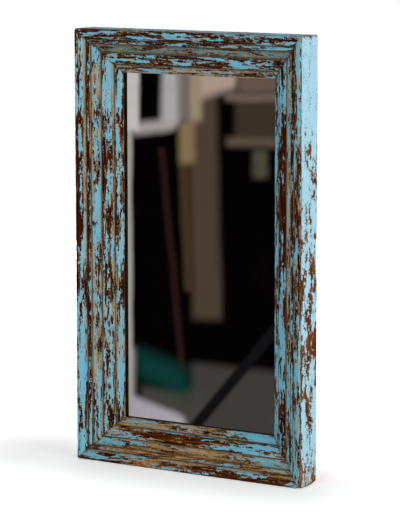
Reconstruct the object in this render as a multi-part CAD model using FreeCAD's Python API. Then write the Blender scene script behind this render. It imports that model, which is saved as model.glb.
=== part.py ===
"""Framed wall mirror: two nested mitred mouldings, silvered glass, back panel and hangers.

Millimetres, +X right, +Y to the back, +Z up. The origin is the middle of the frame's underside.
"Inset" is measured from the frame's outer edge towards its middle, "depth" from its front to its back.
"""
import FreeCAD, Part
import math
import os

# Overall frame
OVERALL_WIDTH = 460.0
OVERALL_HEIGHT = 756.0
CORNER_RADIUS = 4.0

# Outer moulding, from the outer edge inwards
FRONT_ARRIS_RADIUS = 2.5
BACK_ARRIS_RADIUS = 1.5
FACE_WIDTH = 17.0
FACE_FALL = 4.6
FACE_CROWN = 0.5
STEP_DEPTH = 5.6
STEP_SLANT = 1.5
STEP_EASE = 1.2
BEAD_WIDTH = 8.0
BEAD_FALL = 1.2
BEAD_CROWN = 1.5
QUIRK_DEPTH = 1.4
COVE_WIDTH = 15.5
COVE_FALL = 9.7
COVE_HOLLOW = 3.2

# Inner moulding, from the cove inwards
UPSTAND = 0.8
UPSTAND_RADIUS = 1.0
SLOPE_WIDTH = 18.5
SLOPE_FALL = 6.3
SLOPE_CROWN = 0.6
INNER_STEP_DEPTH = 4.8
INNER_STEP_SLANT = 1.5
INNER_STEP_EASE = 1.0
BEVEL_WIDTH = 14.0
BEVEL_FALL = 7.2
BEVEL_CROWN = 0.6
LIP_RADIUS = 1.0
LIP_EDGE = 1.5

# Glazing, from the sight lip to the back
LIP_OVERLAP = 8.0
GLASS_EDGE_GAP = 2.0
GLASS_THICKNESS = 5.0
SILVER_THICKNESS = 0.3
CARD_THICKNESS = 1.5
CARD_EDGE_GAP = 2.5
PANEL_LEDGE = 9.0
PANEL_EDGE_GAP = 1.0
PANEL_THICKNESS = 4.0
PANEL_RECESS = 1.7
BLOCK_LENGTH = 32.0
BLOCK_CORNER_DISTANCE = 70.0

# Biscuits across the outer mitres
BISCUIT_LENGTH = 40.0
BISCUIT_WIDTH = 14.0
BISCUIT_THICKNESS = 4.0
BISCUIT_FRONT_COVER = 7.0
BISCUIT_BACK_COVER = 7.0
BISCUIT_CLEARANCE = 0.1

# V-shaped nails in the inner mitres
NAIL_SPREAD = 8.0
NAIL_RISE = 4.0
NAIL_THICKNESS = 0.8
NAIL_LENGTH = 10.0

# Screws
SCREW_CLEARANCE = 0.05
RECESS_WIDTH = 0.9
RECESS_DEPTH = 1.0
RECESS_SHARE = 0.6
INNER_SCREW_RADIUS = 1.75
INNER_SCREW_HEAD_RADIUS = 3.0
INNER_SCREW_HEAD_HEIGHT = 2.0
INNER_SCREW_LENGTH = 38.0
INNER_SCREW_END = 112.0
INNER_SCREW_SPACING = 180.0
PANEL_SCREW_RADIUS = 1.5
PANEL_SCREW_HEAD_RADIUS = 2.8
PANEL_SCREW_HEAD_HEIGHT = 1.7
PANEL_SCREW_LENGTH = 16.0
PANEL_SCREW_LEAD = 38.0
SCREW_TIP = 4.0

# Hangers on the back of the stiles
HANGER_DROP = 170.0
WIRE_RADIUS = 1.6
WIRE_CLEARANCE = 0.25
RING_HALF_WIDTH = 11.0
RING_CORNER = 3.0
RING_LEG = 3.0
STRAP_THICKNESS = 1.5
STRAP_WIDTH = 14.0
STRAP_CORNER = 3.0
STRAP_END = 7.0
KNUCKLE_WIDTH = 12.0
CURL_GAP = 0.5
HANGER_SCREW_RADIUS = 1.75
HANGER_SCREW_HEAD_RADIUS = 3.4
HANGER_SCREW_HEAD_HEIGHT = 2.0
HANGER_SCREW_LENGTH = 16.0
HANGER_SCREW_PITCH = 13.0
HANGER_SCREW_MARGIN = 3.0

# Rubber buffers at the foot of the back
BUMPER_RADIUS = 9.0
BUMPER_HEIGHT = 6.0
BUMPER_ROUND = 1.5
BUMPER_END = 60.0

# Insets and depths that follow from the sizes above
BEAD_INSET = FACE_WIDTH + STEP_SLANT
QUIRK_INSET = BEAD_INSET + BEAD_WIDTH
OUTER_WIDTH = QUIRK_INSET + COVE_WIDTH
SLOPE_END_INSET = OUTER_WIDTH + SLOPE_WIDTH
BEVEL_INSET = SLOPE_END_INSET + INNER_STEP_SLANT
MOULDING_WIDTH = BEVEL_INSET + BEVEL_WIDTH
GLASS_INSET = MOULDING_WIDTH - LIP_OVERLAP
GLASS_REBATE_INSET = GLASS_INSET - GLASS_EDGE_GAP
PANEL_REBATE_INSET = GLASS_REBATE_INSET - PANEL_LEDGE
PANEL_INSET = PANEL_REBATE_INSET + PANEL_EDGE_GAP
BEAD_DEPTH_START = FACE_FALL + STEP_DEPTH
QUIRK_DEPTH_START = BEAD_DEPTH_START + BEAD_FALL
COVE_DEPTH_START = QUIRK_DEPTH_START + QUIRK_DEPTH
COVE_DEPTH_END = COVE_DEPTH_START + COVE_FALL
SLOPE_DEPTH_START = COVE_DEPTH_END - UPSTAND
SLOPE_DEPTH_END = SLOPE_DEPTH_START + SLOPE_FALL
BEVEL_DEPTH_START = SLOPE_DEPTH_END + INNER_STEP_DEPTH
BEVEL_DEPTH_END = BEVEL_DEPTH_START + BEVEL_FALL
GLASS_DEPTH = BEVEL_DEPTH_END + LIP_EDGE
SILVER_DEPTH = GLASS_DEPTH + GLASS_THICKNESS
CARD_DEPTH = SILVER_DEPTH + SILVER_THICKNESS
PANEL_DEPTH = CARD_DEPTH + CARD_THICKNESS
PANEL_BACK_DEPTH = PANEL_DEPTH + PANEL_THICKNESS
FRAME_DEPTH = PANEL_BACK_DEPTH + PANEL_RECESS
HANGER_INSET = OUTER_WIDTH / 2
KNUCKLE_BORE = WIRE_RADIUS + WIRE_CLEARANCE
KNUCKLE_RADIUS = KNUCKLE_BORE + STRAP_THICKNESS
RING_REACH = RING_CORNER + RING_LEG + RING_HALF_WIDTH
FIRST_HANGER_SCREW = RING_REACH + WIRE_RADIUS + HANGER_SCREW_MARGIN + HANGER_SCREW_HEAD_RADIUS
SECOND_HANGER_SCREW = FIRST_HANGER_SCREW + HANGER_SCREW_PITCH
STRAP_LENGTH = SECOND_HANGER_SCREW + STRAP_END
CUT_MARGIN = 1.0

ACROSS = FreeCAD.Vector(1, 0, 0)
BACK = FreeCAD.Vector(0, 1, 0)
UP = FreeCAD.Vector(0, 0, 1)


class Side:
    """One side of the frame: a run along its outer edge, an inset towards the middle, and a depth."""

    def __init__(self, name, corner_x, corner_z, along, inward, length):
        self.name = name
        self.corner = FreeCAD.Vector(corner_x, -FRAME_DEPTH / 2, corner_z)
        self.along = along
        self.inward = inward
        self.length = length

    def point(self, run, inset, depth):
        """The place at a run, inset and depth."""
        return self.corner + self.along * run + self.inward * inset + BACK * depth

    def block(self, run, inset, depth, run_size, inset_size, depth_size):
        """A rectangular block with its first corner at a run, inset and depth."""
        corners = [(run, inset), (run + run_size, inset)]
        corners += [(run + run_size, inset + inset_size), (run, inset + inset_size)]
        return self.prism(corners, depth, depth_size)

    def prism(self, corners, depth, depth_size):
        """A flat outline of (run, inset) corners, carried back from a depth."""
        points = [self.point(run, inset, depth) for run, inset in corners]
        return Part.Face(Part.makePolygon(points + points[:1])).extrude(BACK * depth_size)


LEFT = Side("left", -OVERALL_WIDTH / 2, 0.0, UP, ACROSS, OVERALL_HEIGHT)
RIGHT = Side("right", OVERALL_WIDTH / 2, 0.0, UP, -ACROSS, OVERALL_HEIGHT)
TOP = Side("top", -OVERALL_WIDTH / 2, OVERALL_HEIGHT, ACROSS, -UP, OVERALL_WIDTH)
BOTTOM = Side("bottom", -OVERALL_WIDTH / 2, 0.0, ACROSS, UP, OVERALL_WIDTH)
SIDES = [LEFT, RIGHT, TOP, BOTTOM]


class Outline:
    """A closed outline of lines and arcs in (inset, depth), drawn at the start of a side."""

    def __init__(self, side, inset, depth):
        self.side = side
        self.start = (inset, depth)
        self.here = (inset, depth)
        self.edges = []

    def place(self, spot):
        """An outline spot as a point in space."""
        return self.side.point(0.0, spot[0], spot[1])

    def line(self, inset, depth):
        """A straight edge to an inset and depth."""
        end = (inset, depth)
        self.edges.append(Part.LineSegment(self.place(self.here), self.place(end)).toShape())
        self.here = end

    def arc(self, via, end):
        """A round edge through one spot to another."""
        curve = Part.Arc(self.place(self.here), self.place(via), self.place(end))
        self.edges.append(curve.toShape())
        self.here = end

    def bowed(self, inset, depth, crown):
        """A round edge whose middle stands proud of its chord by the crown, or below it if negative."""
        run, fall = inset - self.here[0], depth - self.here[1]
        chord = math.hypot(run, fall)
        via_inset = self.here[0] + run / 2 + crown * fall / chord
        via_depth = self.here[1] + fall / 2 - crown * run / chord
        self.arc((via_inset, via_depth), (inset, depth))

    def eased(self, corner, after, ease, crown):
        """A bowed edge towards a corner, which is rounded off on the way to the spot after it."""
        spots = []
        for beyond in (self.here, after):
            share = ease / math.hypot(beyond[0] - corner[0], beyond[1] - corner[1])
            spots.append([near + (far - near) * share for near, far in zip(corner, beyond)])
        via = [(first + 2 * middle + last) / 4 for first, middle, last in zip(spots[0], corner, spots[1])]
        self.bowed(*spots[0], crown)
        self.arc(via, spots[1])
        self.line(*after)

    def corner(self, centre, radius, start_angle, end_angle):
        """A quarter round about a centre, between two angles in degrees."""
        middle = math.radians((start_angle + end_angle) / 2)
        last = math.radians(end_angle)
        via = (centre[0] + radius * math.cos(middle), centre[1] + radius * math.sin(middle))
        end = (centre[0] + radius * math.cos(last), centre[1] + radius * math.sin(last))
        self.arc(via, end)

    def bar(self):
        """The outline closed and carried along the whole side."""
        if self.here != self.start:
            self.line(*self.start)
        return Part.Face(Part.Wire(self.edges)).extrude(self.side.along * self.side.length)


def mitred(side, bar):
    """A bar with both ends cut at 45 degrees."""
    reach = MOULDING_WIDTH + CUT_MARGIN
    corners = [(0, 0), (side.length, 0), (side.length - reach, reach), (reach, reach)]
    return bar.common(side.prism(corners, -CUT_MARGIN, FRAME_DEPTH + 2 * CUT_MARGIN))


def rounded_outside():
    """The frame's outer block, with its four corners rounded."""
    block = BOTTOM.block(0, 0, -CUT_MARGIN, OVERALL_WIDTH, OVERALL_HEIGHT, FRAME_DEPTH + 2 * CUT_MARGIN)
    corners = [edge for edge in block.Edges if abs(edge.tangentAt(edge.FirstParameter).y) > 0.5]
    return block.makeFillet(CORNER_RADIUS, corners)


def outer_bar(side):
    """Outer moulding: sloped face, step, bead, quirk and cove, with a flat back."""
    front = FRONT_ARRIS_RADIUS
    back = BACK_ARRIS_RADIUS
    outline = Outline(side, 0.0, front)
    outline.corner((front, front), front, 180, 270)
    outline.eased((FACE_WIDTH, FACE_FALL), (BEAD_INSET, BEAD_DEPTH_START), STEP_EASE, FACE_CROWN)
    outline.bowed(QUIRK_INSET, QUIRK_DEPTH_START, BEAD_CROWN)
    outline.line(QUIRK_INSET, COVE_DEPTH_START)
    outline.bowed(OUTER_WIDTH, COVE_DEPTH_END, -COVE_HOLLOW)
    outline.line(OUTER_WIDTH, FRAME_DEPTH)
    outline.line(back, FRAME_DEPTH)
    outline.corner((back, FRAME_DEPTH - back), back, 90, 180)
    return outline.bar()


def inner_bar(side):
    """Inner moulding: sloped band, step, bevel and sight lip, with rebates for glass and panel."""
    edge = UPSTAND_RADIUS
    lip = LIP_RADIUS
    outline = Outline(side, OUTER_WIDTH, SLOPE_DEPTH_START + edge)
    outline.corner((OUTER_WIDTH + edge, SLOPE_DEPTH_START + edge), edge, 180, 270)
    slope_end = (SLOPE_END_INSET, SLOPE_DEPTH_END)
    outline.eased(slope_end, (BEVEL_INSET, BEVEL_DEPTH_START), INNER_STEP_EASE, SLOPE_CROWN)
    outline.bowed(MOULDING_WIDTH - lip, BEVEL_DEPTH_END, BEVEL_CROWN)
    outline.corner((MOULDING_WIDTH - lip, BEVEL_DEPTH_END + lip), lip, 270, 360)
    outline.line(MOULDING_WIDTH, GLASS_DEPTH)
    outline.line(GLASS_REBATE_INSET, GLASS_DEPTH)
    outline.line(GLASS_REBATE_INSET, PANEL_DEPTH)
    outline.line(PANEL_REBATE_INSET, PANEL_DEPTH)
    outline.line(PANEL_REBATE_INSET, FRAME_DEPTH)
    outline.line(OUTER_WIDTH, FRAME_DEPTH)
    return outline.bar()


def framed_sheet(inset, depth, thickness):
    """A sheet parallel to the front, with its edge at one inset all round."""
    width = OVERALL_WIDTH - 2 * inset
    height = OVERALL_HEIGHT - 2 * inset
    return BOTTOM.block(inset, inset, depth, width, height, thickness)


def pointed(shape, tip, direction):
    """A shape made along +Z, moved to a point and turned to a direction."""
    turned = shape.copy()
    turned.Placement = FreeCAD.Placement(tip, FreeCAD.Rotation(UP, direction))
    return turned


def turned_about_z(edges):
    """A solid of revolution from a closed chain of edges in the XZ plane."""
    return Part.Face(Part.Wire(edges)).revolve(FreeCAD.Vector(0, 0, 0), UP, 360)


def segments(spots):
    """Straight edges through (radius, height) spots."""
    points = [FreeCAD.Vector(radius, 0, height) for radius, height in spots]
    pairs = zip(points[:-1], points[1:])
    return [Part.LineSegment(first, second).toShape() for first, second in pairs]


def cross_recess(head_radius, top):
    """The crossed driver recess of a screw head whose top is at a height."""
    length = 2 * RECESS_SHARE * head_radius
    floor = top - RECESS_DEPTH
    height = RECESS_DEPTH + CUT_MARGIN
    lying = FreeCAD.Vector(-length / 2, -RECESS_WIDTH / 2, floor)
    standing = FreeCAD.Vector(-RECESS_WIDTH / 2, -length / 2, floor)
    first = Part.makeBox(length, RECESS_WIDTH, height, lying)
    second = Part.makeBox(RECESS_WIDTH, length, height, standing)
    return first.fuse(second)


def countersunk_body(radius, head_radius, head_height, length, grow):
    """A countersunk screw pointing along -Z with its head flush at zero, grown all round for its hole."""
    spots = [(0, 0), (head_radius + grow, 0), (radius + grow, -head_height)]
    spots += [(radius + grow, -(length - SCREW_TIP)), (0, -(length + grow)), (0, 0)]
    return turned_about_z(segments(spots))


def pan_head_body(radius, head_radius, head_height, length, grow):
    """A pan-head screw pointing along -Z with the underside of its head at zero."""
    dome = Part.Arc(
        FreeCAD.Vector(0, 0, head_height),
        FreeCAD.Vector(head_radius * math.sin(math.pi / 4), 0, head_height * math.cos(math.pi / 6)),
        FreeCAD.Vector(head_radius, 0, 0),
    )
    spots = [(head_radius, 0), (radius + grow, 0), (radius + grow, -(length - SCREW_TIP))]
    spots += [(0, -(length + grow)), (0, head_height)]
    return turned_about_z([dome.toShape()] + segments(spots))


def inner_screw(grow):
    """A screw that holds an inner moulding to its outer one, or its hole."""
    return countersunk_body(
        INNER_SCREW_RADIUS, INNER_SCREW_HEAD_RADIUS, INNER_SCREW_HEAD_HEIGHT, INNER_SCREW_LENGTH, grow
    )


def panel_screw(grow):
    """A screw that holds the back panel, or its hole."""
    return countersunk_body(
        PANEL_SCREW_RADIUS, PANEL_SCREW_HEAD_RADIUS, PANEL_SCREW_HEAD_HEIGHT, PANEL_SCREW_LENGTH, grow
    )


def hanger_screw(grow):
    """A screw that holds a hanger strap, or its hole."""
    return pan_head_body(
        HANGER_SCREW_RADIUS, HANGER_SCREW_HEAD_RADIUS, HANGER_SCREW_HEAD_HEIGHT, HANGER_SCREW_LENGTH, grow
    )


def inner_screw_runs(side):
    """Where the inner moulding's screws stand along a side."""
    span = side.length - 2 * INNER_SCREW_END
    gaps = max(1, math.ceil(span / INNER_SCREW_SPACING))
    return [INNER_SCREW_END + span * index / gaps for index in range(gaps + 1)]


def panel_screw_runs(side):
    """Where the panel's screws stand along a side: between the inner screws and beyond the end ones."""
    inner = inner_screw_runs(side)
    between = [(first + second) / 2 for first, second in zip(inner[:-1], inner[1:])]
    return [inner[0] - PANEL_SCREW_LEAD] + between + [inner[-1] + PANEL_SCREW_LEAD]


def inner_screw_places(side, grow):
    """The inner moulding's screws on a side, driven outwards from the wall of the glass rebate."""
    depth = (GLASS_DEPTH + PANEL_DEPTH) / 2
    screw = inner_screw(grow)
    if grow == 0:
        screw = screw.cut(cross_recess(INNER_SCREW_HEAD_RADIUS, 0.0))
    points = [side.point(run, GLASS_REBATE_INSET, depth) for run in inner_screw_runs(side)]
    return [pointed(screw, point, side.inward) for point in points]


def panel_screw_places(side, grow):
    """The panel's screws on a side, driven forwards into the panel ledge."""
    inset = (PANEL_REBATE_INSET + GLASS_REBATE_INSET) / 2
    screw = panel_screw(grow)
    if grow == 0:
        screw = screw.cut(cross_recess(PANEL_SCREW_HEAD_RADIUS, 0.0))
    points = [side.point(run, inset, PANEL_BACK_DEPTH) for run in panel_screw_runs(side)]
    return [pointed(screw, point, BACK) for point in points]


def hanger_axis(side):
    """The middle of a hanger's pivot."""
    lift = FRAME_DEPTH + STRAP_THICKNESS + KNUCKLE_BORE
    return side.point(OVERALL_HEIGHT - HANGER_DROP, HANGER_INSET, lift)


def strap_point(side, drop, lift):
    """A place on a strap's centre line, below the pivot and above the back of the stile."""
    return side.point(OVERALL_HEIGHT - HANGER_DROP - drop, HANGER_INSET, FRAME_DEPTH + lift)


def hanger_screw_places(side, grow):
    """The two screws of a hanger strap."""
    screw = hanger_screw(grow)
    if grow == 0:
        screw = screw.cut(cross_recess(HANGER_SCREW_HEAD_RADIUS, HANGER_SCREW_HEAD_HEIGHT))
    drops = [FIRST_HANGER_SCREW, SECOND_HANGER_SCREW]
    return [pointed(screw, strap_point(side, drop, STRAP_THICKNESS), BACK) for drop in drops]


def biscuit(grow):
    """A lens-shaped biscuit lying flat, centred at zero, with its length along X, or its slot."""
    length = BISCUIT_LENGTH / 2 + grow
    width = BISCUIT_WIDTH / 2 + grow
    thickness = BISCUIT_THICKNESS + 2 * grow
    first = Part.Arc(
        FreeCAD.Vector(-length, 0, 0), FreeCAD.Vector(0, width, 0), FreeCAD.Vector(length, 0, 0)
    )
    second = Part.Arc(
        FreeCAD.Vector(length, 0, 0), FreeCAD.Vector(0, -width, 0), FreeCAD.Vector(-length, 0, 0)
    )
    face = Part.Face(Part.Wire([first.toShape(), second.toShape()]))
    face.translate(FreeCAD.Vector(0, 0, -thickness / 2))
    return face.extrude(UP * thickness)


def corner_biscuits(stile, rail, grow):
    """The two biscuits across the mitre where a stile meets a rail, or their slots."""
    outer_corner = FreeCAD.Vector(stile.corner.x, stile.corner.y, rail.corner.z)
    mitre = stile.inward + rail.inward
    middle = outer_corner + mitre * (OUTER_WIDTH / 2)
    turn = FreeCAD.Rotation(mitre, BACK.cross(mitre), BACK, "ZXY")
    front = COVE_DEPTH_END + BISCUIT_FRONT_COVER + BISCUIT_THICKNESS / 2
    back = FRAME_DEPTH - BISCUIT_BACK_COVER - BISCUIT_THICKNESS / 2
    placed = []
    for depth in (front, back):
        piece = biscuit(grow)
        piece.Placement = FreeCAD.Placement(middle + BACK * depth, turn)
        placed.append(piece)
    return placed


def mitre_nail(stile, rail):
    """The V-shaped nail in the back of the inner mitre where a stile meets a rail."""
    outer_corner = FreeCAD.Vector(stile.corner.x, stile.corner.y, rail.corner.z)
    along = (stile.inward + rail.inward).normalize()
    aside = (stile.inward - rail.inward).normalize()
    middle = (OUTER_WIDTH + PANEL_REBATE_INSET) / 2 * math.sqrt(2)
    wing = NAIL_SPREAD / 2
    spots = [(-NAIL_RISE / 2, 0), (NAIL_RISE / 2, wing), (NAIL_RISE / 2 + NAIL_THICKNESS, wing)]
    spots += [(-NAIL_RISE / 2 + NAIL_THICKNESS, 0), (NAIL_RISE / 2 + NAIL_THICKNESS, -wing)]
    spots += [(NAIL_RISE / 2, -wing)]
    start = outer_corner + BACK * (FRAME_DEPTH - NAIL_LENGTH)
    points = [start + along * (middle + forth) + aside * side for forth, side in spots]
    return Part.Face(Part.makePolygon(points + points[:1])).extrude(BACK * NAIL_LENGTH)


def glass_block(side, run):
    """A rubber block that fills the gap beside the glass, starting at a run."""
    return side.block(
        run, GLASS_REBATE_INSET, GLASS_DEPTH, BLOCK_LENGTH, GLASS_EDGE_GAP, GLASS_THICKNESS
    )


def block_runs(side):
    """Where the two blocks on a side start."""
    first = GLASS_INSET + BLOCK_CORNER_DISTANCE
    return [first, side.length - first - BLOCK_LENGTH]


def ring_bend(centre, start_angle, turn, radius):
    """A bent piece of ring wire in the XZ plane, about a centre, from an angle and through a turn."""
    angle = math.radians(start_angle)
    outward = ACROSS * math.cos(angle) + UP * math.sin(angle)
    tangent = UP * math.cos(angle) - ACROSS * math.sin(angle)
    circle = Part.Circle(centre + outward * radius, tangent, WIRE_RADIUS).toShape()
    return Part.Face(Part.Wire([circle])).revolve(centre, -BACK, turn)


def ring_rod(start, direction, length):
    """A straight piece of ring wire."""
    return Part.makeCylinder(WIRE_RADIUS, length, start, direction)


def hanger_ring(side):
    """A D-ring hanging down from its pivot: bar, rounded corners, short legs and a half-round bow."""
    axis = hanger_axis(side)
    bar = RING_HALF_WIDTH - RING_CORNER
    legs_end = axis - UP * (RING_CORNER + RING_LEG)
    ring = ring_rod(axis - ACROSS * bar, ACROSS, 2 * bar)
    for sign, start_angle in ((1, 0), (-1, 90)):
        centre = axis + ACROSS * (sign * bar) - UP * RING_CORNER
        ring = ring.fuse(ring_bend(centre, start_angle, 90, RING_CORNER))
        ring = ring.fuse(ring_rod(legs_end + ACROSS * (sign * RING_HALF_WIDTH), UP, RING_LEG))
    ring = ring.fuse(ring_bend(legs_end, 180, 180, RING_HALF_WIDTH))
    return ring.removeSplitter()


def hanger_strap(side):
    """A steel strap lying on the stile, curled at its top round the bar of the ring."""
    axis = hanger_axis(side)
    base = strap_point(side, STRAP_LENGTH, 0.0) - ACROSS * (STRAP_WIDTH / 2)
    plate = Part.makeBox(STRAP_WIDTH, STRAP_THICKNESS, STRAP_LENGTH, base)
    foot = [
        edge
        for edge in plate.Edges
        if abs(edge.tangentAt(edge.FirstParameter).y) > 0.5 and edge.CenterOfMass.z < base.z + CUT_MARGIN
    ]
    plate = plate.makeFillet(STRAP_CORNER, foot)
    knuckle_start = axis - ACROSS * (KNUCKLE_WIDTH / 2)
    knuckle = Part.makeCylinder(KNUCKLE_RADIUS, KNUCKLE_WIDTH, knuckle_start, ACROSS)
    bore_start = axis - ACROSS * STRAP_WIDTH
    bore = Part.makeCylinder(KNUCKLE_BORE, 2 * STRAP_WIDTH, bore_start, ACROSS)
    gap_start = axis - ACROSS * STRAP_WIDTH - BACK * KNUCKLE_BORE - UP * (2 * KNUCKLE_RADIUS)
    gap = Part.makeBox(2 * STRAP_WIDTH, CURL_GAP, 2 * KNUCKLE_RADIUS, gap_start)
    curl = knuckle.cut(gap)
    strap = plate.fuse(curl).cut(bore)
    for hole in hanger_screw_places(side, SCREW_CLEARANCE):
        strap = strap.cut(hole)
    return strap


def wall_bumper(run):
    """A round rubber buffer on the back of the bottom rail."""
    start = BOTTOM.point(run, HANGER_INSET, FRAME_DEPTH)
    disc = Part.makeCylinder(BUMPER_RADIUS, BUMPER_HEIGHT, start, BACK)
    rim = [edge for edge in disc.Edges if abs(edge.CenterOfMass.y - start.y - BUMPER_HEIGHT) < BUMPER_ROUND]
    return disc.makeFillet(BUMPER_ROUND, rim)


def without(shape, tools):
    """A shape with every tool cut from it."""
    for tool in tools:
        shape = shape.cut(tool)
    return shape


def corner_pairs():
    """Each frame corner's name with its stile and its rail."""
    pairs = []
    for rail in (TOP, BOTTOM):
        for stile in (LEFT, RIGHT):
            pairs.append((rail.name + "_" + stile.name, stile, rail))
    return pairs


def frame_nodes():
    """The eight mouldings and the pieces that join them."""
    nodes = {}
    outside = rounded_outside()
    for side in SIDES:
        corners = [pair for pair in corner_pairs() if side in pair[1:]]
        slots = []
        for _, stile, rail in corners:
            slots += corner_biscuits(stile, rail, BISCUIT_CLEARANCE)
        inner_holes = inner_screw_places(side, SCREW_CLEARANCE)
        hanger_holes = hanger_screw_places(side, SCREW_CLEARANCE) if side in (LEFT, RIGHT) else []
        outer = mitred(side, outer_bar(side)).common(outside)
        kind = "_stile" if side in (LEFT, RIGHT) else "_rail"
        nodes[side.name + kind] = without(outer, slots + inner_holes + hanger_holes)
        nails = [mitre_nail(stile, rail) for _, stile, rail in corners]
        panel_holes = panel_screw_places(side, SCREW_CLEARANCE)
        inner = mitred(side, inner_bar(side))
        nodes[side.name + "_inner_moulding"] = without(inner, inner_holes + panel_holes + nails)
    for name, stile, rail in corner_pairs():
        nodes[name + "_biscuits"] = Part.makeCompound(corner_biscuits(stile, rail, 0.0))
    nodes["inner_mitre_nails"] = Part.makeCompound([mitre_nail(s, r) for _, s, r in corner_pairs()])
    screws = [screw for side in SIDES for screw in inner_screw_places(side, 0.0)]
    nodes["inner_moulding_screws"] = Part.makeCompound(screws)
    return nodes


def glazing_nodes():
    """The glass, what packs it and what closes the back."""
    nodes = {}
    nodes["mirror_glass"] = framed_sheet(GLASS_INSET, GLASS_DEPTH, GLASS_THICKNESS)
    nodes["silver_coating"] = framed_sheet(GLASS_INSET, SILVER_DEPTH, SILVER_THICKNESS)
    nodes["setting_blocks"] = Part.makeCompound([glass_block(BOTTOM, run) for run in block_runs(BOTTOM)])
    location = [glass_block(side, run) for side in (LEFT, RIGHT, TOP) for run in block_runs(side)]
    nodes["location_blocks"] = Part.makeCompound(location)
    nodes["backing_card"] = framed_sheet(GLASS_REBATE_INSET + CARD_EDGE_GAP, CARD_DEPTH, CARD_THICKNESS)
    panel = framed_sheet(PANEL_INSET, PANEL_DEPTH, PANEL_THICKNESS)
    holes = [hole for side in SIDES for hole in panel_screw_places(side, SCREW_CLEARANCE)]
    nodes["back_panel"] = without(panel, holes)
    screws = [screw for side in SIDES for screw in panel_screw_places(side, 0.0)]
    nodes["back_panel_screws"] = Part.makeCompound(screws)
    return nodes


def hanging_nodes():
    """The two hangers and the buffers that keep the foot off the wall."""
    nodes = {}
    for side in (LEFT, RIGHT):
        nodes[side.name + "_hanger_strap"] = hanger_strap(side)
        nodes[side.name + "_hanger_ring"] = hanger_ring(side)
    screws = [screw for side in (LEFT, RIGHT) for screw in hanger_screw_places(side, 0.0)]
    nodes["hanger_screws"] = Part.makeCompound(screws)
    runs = [BUMPER_END, OVERALL_WIDTH - BUMPER_END]
    nodes["wall_bumpers"] = Part.makeCompound([wall_bumper(run) for run in runs])
    return nodes


def main():
    """Write every node to its own STEP file."""
    os.makedirs("parts", exist_ok=True)
    nodes = {**frame_nodes(), **glazing_nodes(), **hanging_nodes()}
    for name, shape in nodes.items():
        if not shape.isValid():
            raise ValueError(name + " is not a valid shape")
        shape.exportStep("parts/" + name + ".step")
        print(name, len(shape.Solids), "solids", round(shape.Volume / 1000, 2), "cm3")


main()
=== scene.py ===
"""Looks of the framed mirror: flaked paint on nested mouldings, silvered glass, plated hangers and a studio.

Metres, +X right, +Y to the back, +Z up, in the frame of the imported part. "Inset" is measured from the frame's
outer edge towards its middle, "depth" from its front to its back, "run" along a side and "travel" round a
moulding's outline.
"""
import logging
import math
from collections.abc import Iterable, Sequence
from dataclasses import dataclass, field
from enum import Enum

import bmesh
import bpy
from mathutils import Matrix, Vector, noise

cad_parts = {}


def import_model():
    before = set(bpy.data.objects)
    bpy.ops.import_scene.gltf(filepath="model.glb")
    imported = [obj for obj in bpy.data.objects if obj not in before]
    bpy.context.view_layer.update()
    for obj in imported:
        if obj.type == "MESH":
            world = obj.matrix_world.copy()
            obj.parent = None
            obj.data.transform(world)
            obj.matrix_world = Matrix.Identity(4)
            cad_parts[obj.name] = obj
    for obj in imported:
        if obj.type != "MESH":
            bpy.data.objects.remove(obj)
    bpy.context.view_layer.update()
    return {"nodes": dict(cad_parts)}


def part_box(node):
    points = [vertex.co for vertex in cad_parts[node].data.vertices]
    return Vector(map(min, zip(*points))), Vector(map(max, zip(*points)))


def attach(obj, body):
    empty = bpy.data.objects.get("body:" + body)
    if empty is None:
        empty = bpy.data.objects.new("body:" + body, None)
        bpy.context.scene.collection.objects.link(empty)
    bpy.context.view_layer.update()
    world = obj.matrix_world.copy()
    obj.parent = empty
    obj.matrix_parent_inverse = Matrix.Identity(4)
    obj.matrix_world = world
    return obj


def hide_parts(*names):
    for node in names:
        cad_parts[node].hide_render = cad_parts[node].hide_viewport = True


LOG = logging.getLogger("mirror")
MM = 0.001
CRISP_ANGLE = math.radians(50.0)

Triple = tuple[float, float, float]
Colour = Triple
Spot = tuple[float, float]
Limits = tuple[float, float]
BLACK: Colour = (0.0, 0.0, 0.0)
WHITE: Colour = (1.0, 1.0, 1.0)


# Shader graphs


class Signal:
    """One output socket of a shader graph, which takes part in Python arithmetic by adding Math nodes."""

    def __init__(self, graph: "Graph", socket: bpy.types.NodeSocket) -> None:
        """Keep the graph and the socket."""
        self.graph = graph
        self.socket = socket

    def math(self, operation: str, *others: "Operand") -> "Signal":
        """Add a Math node whose first operand is this value.

        Args:
            operation: The Math node's operation.
            others: The operands after this one.

        Returns:
            The node's result.
        """
        return self.graph.add("ShaderNodeMath", {"operation": operation}, dict(enumerate((self, *others))))

    def __add__(self, other: "Operand") -> "Signal":
        """Add a value."""
        return self.math("ADD", other)

    __radd__ = __add__

    def __mul__(self, other: "Operand") -> "Signal":
        """Multiply by a value."""
        return self.math("MULTIPLY", other)

    __rmul__ = __mul__

    def __sub__(self, other: "Operand") -> "Signal":
        """Take away a value."""
        return self.math("SUBTRACT", other)

    def __rsub__(self, other: float) -> "Signal":
        """Take this value away from a number."""
        return self.math("MULTIPLY", -1.0) + other

    def smooth(self, low: float, high: float) -> "Signal":
        """Ease from 0 at a low value to 1 at a high one.

        Args:
            low: The value that gives 0.
            high: The value that gives 1.

        Returns:
            The eased value.
        """
        settings = {"interpolation_type": "SMOOTHSTEP"}
        inputs = {"Value": self, "From Min": low, "From Max": high}
        return self.graph.add("ShaderNodeMapRange", settings, inputs)


Operand = Signal | float
Feed = Signal | float | Sequence[float]
Settings = dict[str, object]
Sockets = dict[str | int, Feed]


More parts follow.
